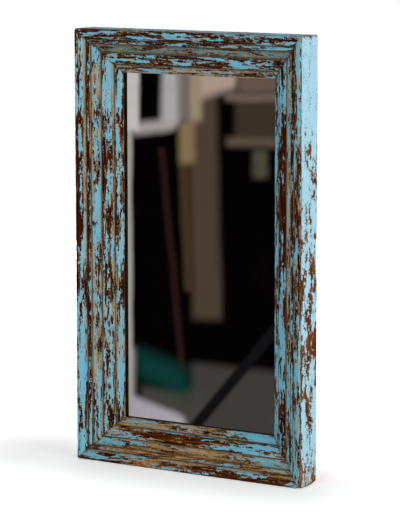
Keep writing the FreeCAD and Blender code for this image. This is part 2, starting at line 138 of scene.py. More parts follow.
class Graph:
    """A node tree with one way of adding nodes to it."""

    def __init__(self, tree: bpy.types.NodeTree) -> None:
        """Start from an empty tree."""
        self.tree = tree
        tree.nodes.clear()

    def node(
        self, kind: str, settings: Settings | None = None, inputs: Sockets | None = None
    ) -> bpy.types.Node:
        """Add a node.

        Args:
            kind: The node's type.
            settings: Properties that are set first.
            inputs: Values or links for the node's sockets.

        Returns:
            The new node.
        """
        node = self.tree.nodes.new(kind)
        for name, value in (settings or {}).items():
            setattr(node, name, value)
        for key, value in (inputs or {}).items():
            self.connect(node.inputs[key], value)
        return node

    def add(
        self,
        kind: str,
        settings: Settings | None = None,
        inputs: Sockets | None = None,
        output: str | int = 0,
    ) -> Signal:
        """Add a node and take one of its outputs.

        Args:
            kind: The node's type.
            settings: Properties that are set first.
            inputs: Values or links for the node's sockets.
            output: The output socket to return.

        Returns:
            The chosen output.
        """
        return Signal(self, self.node(kind, settings, inputs).outputs[output])

    def connect(self, socket: bpy.types.NodeSocket, value: Feed) -> None:
        """Link a signal to an input socket, or set the socket's own value.

        Args:
            socket: The input socket.
            value: A signal, a number, a colour or a vector.
        """
        if isinstance(value, Signal):
            self.tree.links.new(value.socket, socket)
        elif socket.type == "RGBA" and len(value) == 3:
            socket.default_value = (*value, 1.0)
        else:
            socket.default_value = value

    def attribute(self, name: str, output: str = "Fac") -> Signal:
        """Read an attribute of the piece's mesh."""
        return self.add("ShaderNodeAttribute", {"attribute_name": name}, output=output)

    def local(self) -> Signal:
        """Coordinates that are fixed to the piece."""
        return self.add("ShaderNodeTexCoord", output="Object")

    def part(self, vector: Signal, axis: str) -> Signal:
        """One coordinate of a vector."""
        return self.add("ShaderNodeSeparateXYZ", None, {0: vector}, axis)

    def dot(self, first: Feed, second: Feed) -> Signal:
        """Multiply two vectors into one number."""
        settings = {"operation": "DOT_PRODUCT"}
        return self.add("ShaderNodeVectorMath", settings, {0: first, 1: second}, "Value")

    def ray(self, kind: str) -> Signal:
        """Whether the ray that asks is of one kind."""
        return self.add("ShaderNodeLightPath", output=kind)

    def mirrored_ray(self) -> Signal:
        """Whether the ray that asks comes from metal or glass."""
        return self.ray("Is Glossy Ray").math("MAXIMUM", self.ray("Is Transmission Ray"))

    def mix(self, share: Operand, first: Feed, second: Feed) -> Signal:
        """Mix two colours.

        Args:
            share: How much of the second colour there is.
            first: The first colour.
            second: The second colour.

        Returns:
            The mixed colour.
        """
        inputs = {0: share, 6: first, 7: second}
        return self.add("ShaderNodeMix", {"data_type": "RGBA"}, inputs, output=2)

    def scaled(self, vector: Signal, scale: Sequence[float], shift: Sequence[float] = (0, 0, 0)) -> Signal:
        """Stretch and move a vector.

        Args:
            vector: The vector.
            scale: The factor along each axis.
            shift: What is added after that.

        Returns:
            The new vector.
        """
        settings = {"operation": "MULTIPLY_ADD"}
        return self.add("ShaderNodeVectorMath", settings, {0: vector, 1: scale, 2: shift})

    def noise(self, vector: Signal, detail: float, roughness: float = 0.5, distortion: float = 0.0) -> Signal:
        """Add fractal noise about zero, at unit scale.

        Args:
            vector: Where the noise is read.
            detail: How many octaves there are.
            roughness: How strong the finer octaves are.
            distortion: How much the noise is warped.

        Returns:
            The noise, mostly between -0.3 and 0.3.
        """
        inputs = {"Vector": vector, "Scale": 1.0, "Detail": detail, "Roughness": roughness}
        return self.add("ShaderNodeTexNoise", None, {**inputs, "Distortion": distortion}, "Fac") - 0.5

    def bump(self, height: Signal, distance: float) -> Signal:
        """Turn a height into a bent normal."""
        return self.add("ShaderNodeBump", None, {"Height": height, "Distance": distance})

    def principled(self, inputs: Sockets) -> None:
        """End the graph of a material in one principled shader."""
        shader = self.add("ShaderNodeBsdfPrincipled", None, inputs)
        self.node("ShaderNodeOutputMaterial", None, {"Surface": shader})


def new_material(name: str) -> tuple[bpy.types.Material, Graph]:
    """Make a node material with an empty graph.

    Args:
        name: The material's name.

    Returns:
        The material and its graph.
    """
    material = bpy.data.materials.new(name)
    material.use_nodes = True
    return material, Graph(material.node_tree)


# Finishes


@dataclass(frozen=True)
class Streak:
    """Marks that are drawn out along the grain.

    Attributes:
        across: The size of a mark across the grain.
        along: The size of a mark along the grain.
        detail: How many octaves the noise has.
        shift: What sets this noise apart from the others.
        roughness: How strong the finer octaves are.
    """

    across: float
    along: float
    detail: float
    shift: float
    roughness: float = 0.55

    def noise(self, graph: Graph) -> Signal:
        """Draw the marks as noise about zero.

        Args:
            graph: The material's graph.

        Returns:
            The noise.
        """
        scale = (1 / self.across, 1 / self.along, 1.0)
        place = graph.scaled(graph.attribute("grain", "Vector"), scale, [self.shift] * 3)
        return graph.noise(place, self.detail, self.roughness)


@dataclass(frozen=True)
class FlakedPaint:
    """Turquoise paint over brown undercoat over bare wood, flaked along the grain and rubbed at the edges."""

    blue: Colour = (0.112, 0.365, 0.485)
    pale_blue: Colour = (0.195, 0.415, 0.485)
    faded_blue: Colour = (0.352, 0.592, 0.702)
    # Cream of the primer, also used as a painted highlight at flake edges.
    primer_and_highlight: Colour = (0.300, 0.280, 0.230)
    wash_and_shade: Colour = (0.112, 0.130, 0.090)
    grime: Colour = (0.045, 0.034, 0.020)
    brown: Colour = (0.026, 0.0029, 0.0003)
    rust: Colour = (0.230, 0.070, 0.009)
    tan: Colour = (0.410, 0.270, 0.115)
    ochre: Colour = (0.205, 0.088, 0.018)
    khaki: Colour = (0.300, 0.255, 0.170)
    # Dark specks; this colour is also the painted shadow at flake edges.
    speck: Colour = (0.010, 0.006, 0.005)
    sawn: Colour = (0.190, 0.100, 0.050)
    sawn_dark: Colour = (0.090, 0.042, 0.020)
    film: float = 0.6 * MM
    specular: float = 0.02
    flake_edge: Limits = (-0.008, 0.008)
    primer_and_highlight_rim: Limits = (-0.075, -0.01)
    shadow_rim: Limits = (0.006, 0.05)
    fleck_edge: Limits = (0.10, 0.18)
    fleck_reach: Limits = (0.03, 0.10)
    bare_edge: Limits = (-0.03, 0.05)
    dot_edge: Limits = (0.195, 0.225)
    primer_and_highlight_share: float = 0.45
    shadow_share: float = 0.5
    fleck_share: float = 0.3
    khaki_share: float = 0.65
    bare_share: float = 0.92
    dirt_and_shade_share: float = 0.8
    dot_share: float = 0.85
    patch: Streak = Streak(7.0 * MM, 62.0 * MM, 1.0, 3.1)
    flake: Streak = Streak(3.2 * MM, 12.0 * MM, 2.0, 7.7, 0.5)
    chip: Streak = Streak(1.4 * MM, 3.0 * MM, 1.0, 1.9)
    fibre: Streak = Streak(0.9 * MM, 45.0 * MM, 3.0, 5.3)
    brush: Streak = Streak(3.0 * MM, 70.0 * MM, 3.0, 9.2)
    rubbed: Streak = Streak(2.6 * MM, 34.0 * MM, 3.0, 4.4, 0.6)
    dot: Streak = Streak(1.4 * MM, 2.2 * MM, 0.0, 2.6)

    def material(self) -> bpy.types.Material:
        """Build the finish from the attributes grain, wear, rub, golden and sawn, and those that carry grime
        with painted shade and paleness with painted sheen.

        Returns:
            The material.
        """
        material, graph = new_material("flaked_paint")
        streaks = (self.patch, self.flake, self.chip, self.fibre, self.brush, self.rubbed, self.dot)
        patch, flake, chip, fibre, brush, rubbed, dot = (streak.noise(graph) for streak in streaks)
        faded, golden = graph.attribute("faded"), graph.attribute("golden")

        # Where each coat is worn, with painted shadows and highlights at the flakes' edges
        loss = graph.attribute("wear") + patch * 0.95 + flake * 0.8 + chip * 0.44 + 0.02
        lost = loss.smooth(*self.flake_edge)
        # Pale rim just outside each flake: worn primer and a painted highlight.
        highlight_rim = loss.smooth(*self.primer_and_highlight_rim) * (1.0 - lost)
        fleck = (chip + rubbed * 0.8).smooth(*self.fleck_edge) * lost
        fleck = fleck * (1.0 - loss.smooth(*self.fleck_reach))
        # Painted shadow just inside each flake's edge.
        lip = lost * (1.0 - loss.smooth(*self.shadow_rim))
        bare = graph.attribute("rub") + rubbed * 1.1 + chip * 0.3
        worn = bare.smooth(*self.bare_edge)
        # Grime and wash, with painted shade in creases and on the top rail's downward faces.
        dirt_and_shade = graph.attribute("grime") + brush * 0.6 + chip * 0.3
        dots = (dot + patch * 0.5).smooth(*self.dot_edge)

        # Colours of the paint, the undercoat, the bare wood and the sawn back
        pale = (brush * 2.2 + patch * 1.2 + faded * 0.7 + 0.3).smooth(0.0, 1.0)
        paint = graph.mix(pale, self.blue, self.pale_blue)
        # Paler, whiter blue: faded paint, and on the outer side faces a painted sheen as well.
        paint = graph.mix((faded + brush * 0.3).smooth(0.3, 0.9), paint, self.faded_blue)
        # Olive wash in hollows and creases, partly dirt and partly painted shade.
        paint = graph.mix(dirt_and_shade.smooth(0.0, 0.8) * self.dirt_and_shade_share, paint, self.wash_and_shade)
        # Cream rim at flake edges, partly primer and partly a painted highlight.
        paint = graph.mix(highlight_rim * self.primer_and_highlight_share, paint, self.primer_and_highlight)
        warm = faded.smooth(0.4, 0.95) * 0.30 + golden * 0.16
        rusty = fibre * 1.8 + brush * 1.8 + chip * 0.6 + warm + 0.04
        under = graph.mix(rusty.smooth(0.0, 1.0), self.brown, self.rust)
        # Painted shadow darkens the undercoat at the flake edges.
        under = graph.mix(lip * self.shadow_share, under, self.speck)
        under = graph.mix(fleck * self.fleck_share, under, self.tan)
        wood = graph.mix((fibre * 1.8 + rubbed * 1.6 + 0.4).smooth(0.0, 1.0), self.ochre, self.tan)
        wood = graph.mix((1.0 - golden) * self.khaki_share, wood, self.khaki)
        back = graph.mix((fibre * 2.0 + 0.5).smooth(0.0, 1.0), self.sawn_dark, self.sawn)

        # The coats over each other
        colour = graph.mix(lost, paint, under)
        colour = graph.mix(worn * self.bare_share, colour, wood)
        # Dark grime, and painted shade in creases and on the top rail's downward faces.
        colour = graph.mix((dirt_and_shade - 0.35).smooth(0.0, 0.8) * self.dirt_and_shade_share, colour, self.grime)
        colour = graph.mix(dots * self.dot_share, colour, self.speck)
        colour = graph.mix(graph.attribute("sawn"), colour, back)

        roughness = 0.5 + lost * 0.14 + worn * 0.12 + fibre * 0.2
        height = (1.0 - lost) * 0.6 + fibre * 0.35 + brush * 0.1 - worn * 0.1
        graph.principled(
            {
                "Base Color": colour,
                "Roughness": roughness,
                "Specular IOR Level": self.specular,
                "Normal": graph.bump(height, self.film),
            }
        )
        return material


@dataclass(frozen=True)
class ClearGlass:
    """Clear float glass with faint wipe marks."""

    tint: Colour = (0.004, 0.006, 0.005)
    dust: Colour = (0.010, 0.010, 0.009)
    haze: float = 0.002
    smear_haze: float = 0.005
    smear_roughness: float = 0.02
    smear_scale: Triple = (18.0, 18.0, 7.0)

    def material(self) -> bpy.types.Material:
        """Build the finish.

        Returns:
            The material.
        """
        material, graph = new_material("float_glass")
        place = graph.local()
        smear = graph.noise(graph.scaled(place, self.smear_scale), 3.0).smooth(0.05, 0.3)
        graph.principled(
            {
                "Base Color": graph.mix(smear, self.tint, self.dust),
                "Roughness": smear * self.smear_roughness,
                "Alpha": smear * self.smear_haze + self.haze,
            }
        )
        return material


@dataclass(frozen=True)
class SilverFilm:
    """The silvering behind the glass, with a little grey mottling."""

    silver: Colour = (0.930, 0.935, 0.930)
    clouded: Colour = (0.890, 0.890, 0.885)
    cloud_roughness: float = 0.012
    cloud_scale: Triple = (30.0, 30.0, 30.0)

    def material(self) -> bpy.types.Material:
        """Build the finish.

        Returns:
            The material.
        """
        material, graph = new_material("silver_film")
        place = graph.local()
        cloud = graph.noise(graph.scaled(place, self.cloud_scale), 4.0).smooth(0.0, 0.3)
        graph.principled(
            {
                "Base Color": graph.mix(cloud, self.silver, self.clouded),
                "Metallic": 1.0,
                "Roughness": cloud * self.cloud_roughness,
            }
        )
        return material


@dataclass(frozen=True)
class GrainedSheet:
    """Timber or board whose grain runs along one axis."""

    name: str
    light: Colour
    dark: Colour
    scale: Triple
    roughness: float = 0.65
    relief: float = 0.25 * MM
    fibre_finer: float = 9.0
    fibre_shift: Triple = (4.0, 2.0, 1.0)

    def material(self) -> bpy.types.Material:
        """Build the finish.

        Returns:
            The material.
        """
        material, graph = new_material(self.name)
        place = graph.local()
        figure = graph.noise(graph.scaled(place, self.scale), 4.0, 0.55, 1.2)
        finer = [factor * self.fibre_finer for factor in self.scale]
        fibre = graph.noise(graph.scaled(place, finer, self.fibre_shift), 3.0)
        shade = (figure * 2.2 + fibre * 0.9 + 0.5).smooth(0.0, 1.0)
        graph.principled(
            {
                "Base Color": graph.mix(shade, self.dark, self.light),
                "Roughness": fibre * 0.3 + self.roughness,
                "Normal": graph.bump(fibre + figure * 0.4, self.relief),
            }
        )
        return material


@dataclass(frozen=True)
class PlatedSteel:
    """Zinc-plated steel with fine scratches and dulled patches."""

    name: str
    bright: Colour
    dull: Colour
    bloom_scale: Triple = (260.0, 260.0, 260.0)
    scratch_scale: Triple = (2600.0, 900.0, 320.0)
    scratch_depth: float = 0.05 * MM

    def material(self) -> bpy.types.Material:
        """Build the finish.

        Returns:
            The material.
        """
        material, graph = new_material(self.name)
        place = graph.local()
        bloom = graph.noise(graph.scaled(place, self.bloom_scale), 4.0, 0.6).smooth(-0.1, 0.25)
        scratch = graph.noise(graph.scaled(place, self.scratch_scale), 2.0)
        graph.principled(
            {
                "Base Color": graph.mix(bloom, self.bright, self.dull),
                "Metallic": 1.0 - bloom * 0.25,
                "Roughness": 0.3 + bloom * 0.22 + scratch * 0.2,
                "Normal": graph.bump(scratch, self.scratch_depth),
            }
        )
        return material


@dataclass(frozen=True)
class BlackRubber:
    """Matt black rubber with a dusty bloom."""

    black: Colour = (0.018, 0.018, 0.019)
    dusty: Colour = (0.060, 0.058, 0.056)
    dust_scale: Triple = (400.0, 400.0, 400.0)
    pore_scale: Triple = (2200.0, 2200.0, 2200.0)
    pore_depth: float = 0.08 * MM

    def material(self) -> bpy.types.Material:
        """Build the finish.

        Returns:
            The material.
        """
        material, graph = new_material("black_rubber")
        place = graph.local()
        dust = graph.noise(graph.scaled(place, self.dust_scale), 4.0).smooth(-0.05, 0.3)
        pore = graph.noise(graph.scaled(place, self.pore_scale), 2.0)
        graph.principled(
            {
                "Base Color": graph.mix(dust, self.black, self.dusty),
                "Roughness": 0.68 + dust * 0.2,
                "Normal": graph.bump(pore, self.pore_depth),
            }
        )
        return material


# Mouldings


class Zone(Enum):
    """The bands of a moulding, from the outer face to the back."""

    SIDE = "side"
    FACE = "face"
    RISER = "riser"
    BEAD = "bead"
    COVE = "cove"
    SLOPE = "slope"
    STEP = "step"
    BEVEL = "bevel"
    BACK = "back"
    HIDDEN = "hidden"


class Edge(Enum):
    """What the end of a stretch of outline is: plain, a worn arris or a dirty crease."""

    PLAIN = "plain"
    ARRIS = "arris"
    CREASE = "crease"


@dataclass
class ProfilePoint:
    """One point of a moulding's outline."""

    inset: float
    depth: float
    zone: Zone
    travel: float = 0.0
    arris: float = 0.0
    crease: float = 0.0
    normal: Spot = (0.0, 0.0)


@dataclass
class Profile:
    """A closed outline of straight, bowed and round stretches, with its arrises and creases marked."""

    start: Spot
    points: list[ProfilePoint] = field(default_factory=list)
    corners: list[tuple[float, Edge]] = field(default_factory=list)
    travel: float = 0.0
    arris_reach: float = 1.6 * MM
    arris_place: float = 0.8
    crease_reach: float = 4.5 * MM

    def to(self, spot: Spot, zone: Zone, step: float, crown: float = 0.0, edge: Edge = Edge.PLAIN) -> None:
        """Add a stretch to a new spot.

        Args:
            spot: The new spot's inset and depth.
            zone: The band that the stretch belongs to.
            step: The spacing of its points.
            crown: How far its middle stands proud of its chord.
            edge: What its far end is.
        """
        here = self.start
        run, fall = spot[0] - here[0], spot[1] - here[1]
        chord = math.hypot(run, fall)
        count = max(1, round(chord / step))
        for index in range(count):
            share = index / count
            rise = crown * 4.0 * share * (1.0 - share) / chord
            place = (here[0] + run * share + rise * fall, here[1] + fall * share - rise * run)
            self.points.append(ProfilePoint(*place, zone, self.travel + chord * share))
        self.travel += chord
        self.start = spot
        self.corners.append((self.travel, edge))

    def eased(
        self, corner: Spot, after: Spot, ease: float, crown: float, zones: tuple[Zone, Zone], step: float
    ) -> None:
        """Add a bowed stretch towards a corner, round the corner off, and go on to the spot after it.

        Args:
            corner: The corner.
            after: The spot after it, which is a crease.
            ease: How far from the corner the round starts and ends.
            crown: How far the first stretch stands proud of its chord.
            zones: The bands before and after the corner.
            step: The spacing of the points.
        """
        middle = Vector(corner)
        first = middle + (Vector(self.start) - middle).normalized() * ease
        last = middle + (Vector(after) - middle).normalized() * ease
        self.to(tuple(first), zones[0], step, crown)
        self.corners.append((self.travel + ease * self.arris_place, Edge.ARRIS))
        for share in (0.5, 1.0):
            spot = first.lerp(middle, share).lerp(middle.lerp(last, share), share)
            self.to(tuple(spot), zones[1], step)
        self.to(after, zones[1], step, edge=Edge.CREASE)

    def round(self, centre: Spot, radius: float, angles: Spot, zone: Zone, steps: int) -> None:
        """Add a round arris about a centre.

        Args:
            centre: The centre of the round.
            radius: Its radius.
            angles: Its first and last angles in degrees.
            zone: The band that it belongs to.
            steps: How many chords it has.
        """
        first, last = angles
        middle = self.travel + radius * math.radians(abs(last - first)) / 2
        for index in range(1, steps + 1):
            angle = math.radians(first + (last - first) * index / steps)
            spot = (centre[0] + radius * math.cos(angle), centre[1] + radius * math.sin(angle))
            self.to(spot, zone, radius)
        self.corners.append((middle, Edge.ARRIS))

    def finished(self) -> list[ProfilePoint]:
        """Work out the normals and the closeness to arrises and creases.

        Returns:
            The outline's points.
        """
        count = len(self.points)
        for index, point in enumerate(self.points):
            before, after = self.points[index - 1], self.points[(index + 1) % count]
            along = Vector((after.inset - before.inset, after.depth - before.depth)).normalized()
            point.normal = (along.y, -along.x)
            for travel, edge in self.corners:
                apart = point.travel - travel
                if edge is Edge.ARRIS:
                    point.arris = max(point.arris, math.exp(-((apart / self.arris_reach) ** 2)))
                elif edge is Edge.CREASE:
                    point.crease = max(point.crease, math.exp(-((apart / self.crease_reach) ** 2)))
        return self.points


@dataclass(frozen=True)
class MouldingSizes:
    """The sections of the outer and inner mouldings."""

    front_arris: float = 2.5 * MM
    back_arris: float = 1.5 * MM
    face_width: float = 17.0 * MM
    face_fall: float = 4.6 * MM
    face_crown: float = 0.5 * MM
    step_depth: float = 5.6 * MM
    step_slant: float = 1.5 * MM
    step_ease: float = 1.2 * MM
    bead_width: float = 8.0 * MM
    bead_fall: float = 1.2 * MM
    bead_crown: float = 1.5 * MM
    quirk_depth: float = 1.4 * MM
    cove_width: float = 15.5 * MM
    cove_fall: float = 9.7 * MM
    cove_hollow: float = 3.2 * MM
    upstand: float = 0.8 * MM
    upstand_radius: float = 1.0 * MM
    slope_width: float = 18.5 * MM
    slope_fall: float = 6.3 * MM
    slope_crown: float = 0.6 * MM
    inner_step_depth: float = 4.8 * MM
    inner_step_slant: float = 1.5 * MM
    inner_step_ease: float = 1.0 * MM
    bevel_width: float = 14.0 * MM
    bevel_fall: float = 7.2 * MM
    bevel_crown: float = 0.6 * MM
    lip_radius: float = 1.0 * MM
    lip_edge: float = 1.5 * MM
    glass_rebate: float = 10.0 * MM
    panel_ledge: float = 9.0 * MM
    glazing_depth: float = 6.8 * MM
    fine: float = 1.25 * MM
    coarse: float = 4.0 * MM

    @property
    def quirk(self) -> Spot:
        """Where the bead ends."""
        inset = self.face_width + self.step_slant + self.bead_width
        return inset, self.face_fall + self.step_depth + self.bead_fall

    @property
    def cove_end(self) -> Spot:
        """Where the cove meets the inner moulding."""
        return self.quirk[0] + self.cove_width, self.quirk[1] + self.quirk_depth + self.cove_fall

    def outer(self, frame_depth: float) -> list[ProfilePoint]:
        """Outline of the outer moulding.

        Args:
            frame_depth: The depth of the frame.

        Returns:
            The outline, from the outer face round the front to the back.
        """
        front, back, fine = self.front_arris, self.back_arris, self.fine
        quirk, end = self.quirk, self.cove_end
        step = (self.face_width, self.face_fall)
        foot = (self.face_width + self.step_slant, self.face_fall + self.step_depth)
        shape = Profile((0.0, frame_depth - back))
        shape.to((0.0, front), Zone.SIDE, fine)
        shape.round((front, front), front, (180, 270), Zone.FACE, 4)
        shape.eased(step, foot, self.step_ease, self.face_crown, (Zone.FACE, Zone.RISER), fine)
        shape.to(quirk, Zone.BEAD, fine, self.bead_crown, Edge.ARRIS)
        shape.to((quirk[0], quirk[1] + self.quirk_depth), Zone.COVE, fine, edge=Edge.CREASE)
        shape.to(end, Zone.COVE, fine, -self.cove_hollow, Edge.CREASE)
        shape.to((end[0], frame_depth), Zone.HIDDEN, frame_depth)
        shape.to((back, frame_depth), Zone.BACK, self.coarse)
        shape.round((back, frame_depth - back), back, (90, 180), Zone.SIDE, 2)
        return shape.finished()

    def inner(self, frame_depth: float) -> list[ProfilePoint]:
        """Outline of the inner moulding.

        Args:
            frame_depth: The depth of the frame.

        Returns:
            The outline, from the cove over the sight lip to the back.
        """
        edge, lip, fine, coarse = self.upstand_radius, self.lip_radius, self.fine, self.coarse
        start, top = self.cove_end[0], self.cove_end[1] - self.upstand
        step = (start + self.slope_width, top + self.slope_fall)
        foot = (step[0] + self.inner_step_slant, step[1] + self.inner_step_depth)
        sight, bevel_end = foot[0] + self.bevel_width, foot[1] + self.bevel_fall
        ledge = bevel_end + self.lip_edge
        rebate = sight - self.glass_rebate
        panel, panel_depth = rebate - self.panel_ledge, ledge + self.glazing_depth
        shape = Profile((start, frame_depth))
        shape.to((start, top + edge), Zone.HIDDEN, frame_depth)
        shape.round((start + edge, top + edge), edge, (180, 270), Zone.SLOPE, 2)
        shape.eased(step, foot, self.inner_step_ease, self.slope_crown, (Zone.SLOPE, Zone.STEP), fine)
        shape.to((sight - lip, bevel_end), Zone.BEVEL, fine, self.bevel_crown)
        shape.round((sight - lip, bevel_end + lip), lip, (270, 360), Zone.BEVEL, 3)
        shape.to((sight, ledge), Zone.BEVEL, fine)
        shape.to((rebate, ledge), Zone.HIDDEN, coarse)
        shape.to((rebate, panel_depth), Zone.HIDDEN, coarse)
        shape.to((panel, panel_depth), Zone.BACK, coarse)
        shape.to((panel, frame_depth), Zone.BACK, coarse)
        shape.to((start, frame_depth), Zone.BACK, coarse)
        return shape.finished()


class Side(Enum):
    """The four sides of the frame, with their seeds."""

    LEFT = 1
    RIGHT = 2
    TOP = 3
    BOTTOM = 4


@dataclass(frozen=True)
class BandWear:
    """The shares of a band whose paint has flaked and whose wood is rubbed bare, and the wash and painted shade
    left in it.
    """

    flaked: float = 0.10
    rubbed: float = 0.02
    washed_and_shaded: float = 0.0


@dataclass(frozen=True)
class WearPatch:
    """A stretch of one band that is worn more or less than the rest of it.

    Attributes:
        middle: The middle of the stretch along the side.
        reach: How far it goes each way.
        flaked: How much likelier flaked paint is there, as log odds.
        rubbed: How much likelier bare wood is there, as log odds.
        depth: The depth that it lies at, if it isn't as wide as the band.
        spread: How far it goes each way in depth.
    """

    middle: float
    reach: float
    flaked: float = 0.0
    rubbed: float = 0.0
    depth: float | None = None
    spread: float = 9 * MM

    def nearness(self, point: ProfilePoint, run: float) -> float:
        """Work out how much of the patch a point of its band gets.

        Args:
            point: The outline point.
            run: The distance along the side.

        Returns:
            The share, from 0 to 1.
        """
        apart = (run - self.middle) / self.reach
        aside = 0.0 if self.depth is None else (point.depth - self.depth) / self.spread
        return math.exp(-(apart**2) - aside**2)


BAND_WEAR: dict[Side, dict[Zone, BandWear]] = {
    Side.LEFT: {
        Zone.SIDE: BandWear(0.18),
        Zone.FACE: BandWear(0.38, 0.07),
        Zone.RISER: BandWear(0.38, 0.34),
        Zone.BEAD: BandWear(0.48, 0.11),
        Zone.COVE: BandWear(0.32, 0.25, 0.10),
        Zone.SLOPE: BandWear(0.48, 0.19),
        Zone.STEP: BandWear(0.42, 0.40),
        Zone.BEVEL: BandWear(0.52, 0.22),
    },
    Side.RIGHT: {
        Zone.SIDE: BandWear(0.08, 0.03),
        Zone.FACE: BandWear(0.36, 0.26),
        Zone.RISER: BandWear(0.50, 0.10),
        Zone.BEAD: BandWear(0.44, 0.08),
        Zone.COVE: BandWear(0.38, 0.28, 0.12),
        Zone.SLOPE: BandWear(0.44, 0.04),
        Zone.STEP: BandWear(0.45, 0.10),
        Zone.BEVEL: BandWear(0.24, 0.14),
    },
    # The top rail's riser, cove, step and bevel face down: their wash is painted shade.
    Side.TOP: {
        Zone.SIDE: BandWear(0.12),
        Zone.FACE: BandWear(0.54, 0.17),
        Zone.RISER: BandWear(0.60, 0.06, 0.10),
        Zone.BEAD: BandWear(0.54, 0.10),
        Zone.COVE: BandWear(0.26, 0.20, 0.60),
        Zone.SLOPE: BandWear(0.46, 0.14),
        Zone.STEP: BandWear(0.70, 0.10, 0.20),
        Zone.BEVEL: BandWear(0.56, 0.32, 0.20),
    },
    Side.BOTTOM: {
        Zone.SIDE: BandWear(0.25),
        Zone.FACE: BandWear(0.73, 0.24),
        Zone.RISER: BandWear(0.18, 0.42),
        Zone.BEAD: BandWear(0.78, 0.47),
        Zone.COVE: BandWear(0.44, 0.44, 0.12),
        Zone.SLOPE: BandWear(0.36, 0.18),
        Zone.STEP: BandWear(0.50, 0.32),
        Zone.BEVEL: BandWear(0.38, 0.40, 0.05),
    },
}

WEAR_PATCHES: dict[Side, dict[Zone, list[WearPatch]]] = {
    Side.LEFT: {
        Zone.FACE: [
            WearPatch(0.47, 0.12, flaked=1.3),
            WearPatch(0.15, 0.20, flaked=-0.6),
            WearPatch(0.42, 0.11, flaked=3.0, depth=0.8 * MM, spread=1.0 * MM),
            WearPatch(0.70, 0.05, rubbed=1.5),
        ],
        Zone.RISER: [
            WearPatch(0.08, 0.14, flaked=1.0, rubbed=-1.5),
            WearPatch(0.62, 0.16, rubbed=1.6),
        ],
        Zone.BEAD: [
            WearPatch(0.47, 0.12, flaked=2.2),
            WearPatch(0.08, 0.10, flaked=-0.9),
        ],
        Zone.COVE: [
            WearPatch(0.62, 0.12, flaked=0.8, rubbed=0.6),
            WearPatch(0.22, 0.10, rubbed=0.9),
        ],
        Zone.SLOPE: [
            WearPatch(0.50, 0.11, flaked=1.2),
            WearPatch(0.27, 0.10, flaked=-0.6),
            WearPatch(0.66, 0.05, flaked=-2.6),
        ],
        Zone.BEVEL: [WearPatch(0.64, 0.04, flaked=-1.8)],
        Zone.STEP: [WearPatch(0.06, 0.12, flaked=0.8, rubbed=-1.0)],
    },
    Side.TOP: {
        Zone.FACE: [WearPatch(0.03, 0.04, flaked=1.5)],
        Zone.BEAD: [
            WearPatch(0.19, 0.09, flaked=1.1),
            WearPatch(0.41, 0.08, flaked=-1.3),
        ],
        Zone.SLOPE: [WearPatch(0.18, 0.07, flaked=1.0)],
        Zone.BEVEL: [WearPatch(0.24, 0.12, rubbed=0.9)],
    },
    Side.RIGHT: {
        Zone.FACE: [WearPatch(0.46, 0.10, flaked=1.1)],
        Zone.BEAD: [
            WearPatch(0.45, 0.13, flaked=2.0),
            WearPatch(0.06, 0.10, flaked=-1.0),
        ],
        Zone.COVE: [
            WearPatch(0.06, 0.10, rubbed=-1.5),
            WearPatch(0.46, 0.14, rubbed=1.2),
        ],
        Zone.SLOPE: [
            WearPatch(0.47, 0.10, flaked=2.4),
            WearPatch(0.20, 0.06, flaked=-1.6),
            WearPatch(0.12, 0.02, flaked=2.0),
        ],
        Zone.SIDE: [
            WearPatch(0.74, 0.13, flaked=-4.5),
            WearPatch(0.754, 0.007, flaked=5.5, rubbed=2.5),
            WearPatch(0.54, 0.10, flaked=2.6, depth=40 * MM),
            WearPatch(0.33, 0.05, flaked=2.0),
            WearPatch(0.24, 0.034, flaked=7.4, rubbed=0.6, depth=38 * MM, spread=18 * MM),
            WearPatch(0.18, 0.10, flaked=5.6, depth=3 * MM, spread=4.5 * MM),
            WearPatch(0.15, 0.06, flaked=1.8, depth=27 * MM, spread=4 * MM),
            WearPatch(0.02, 0.040, flaked=3.0, rubbed=3.2),
        ],
    },
    Side.BOTTOM: {
        Zone.FACE: [
            WearPatch(0.17, 0.07, rubbed=1.2),
            WearPatch(0.36, 0.10, rubbed=-1.2),
            WearPatch(0.02, 0.05, flaked=-1.2, rubbed=-1.2),
        ],
        Zone.BEAD: [WearPatch(0.04, 0.04, flaked=-1.0, rubbed=-1.2)],
        Zone.COVE: [
            WearPatch(0.05, 0.05, flaked=-1.6, rubbed=-1.5),
            WearPatch(0.40, 0.07, flaked=-1.4, rubbed=-1.4),
            WearPatch(0.24, 0.08, rubbed=0.9),
        ],
        Zone.SLOPE: [
            WearPatch(0.195, 0.075, flaked=4.2),
            WearPatch(0.06, 0.04, flaked=-0.8, rubbed=0.8),
            WearPatch(0.35, 0.06, flaked=-2.2, rubbed=-1.4),
        ],
        Zone.STEP: [WearPatch(0.40, 0.08, flaked=-1.4, rubbed=-2.0)],
        Zone.BEVEL: [
            WearPatch(0.10, 0.06, rubbed=1.3),
            WearPatch(0.38, 0.07, flaked=-2.4, rubbed=-3.6),
        ],
    },
}


def log_odds(share: float) -> float:
    """Log odds of a share between 0 and 1."""
    return math.log(share / (1.0 - share))


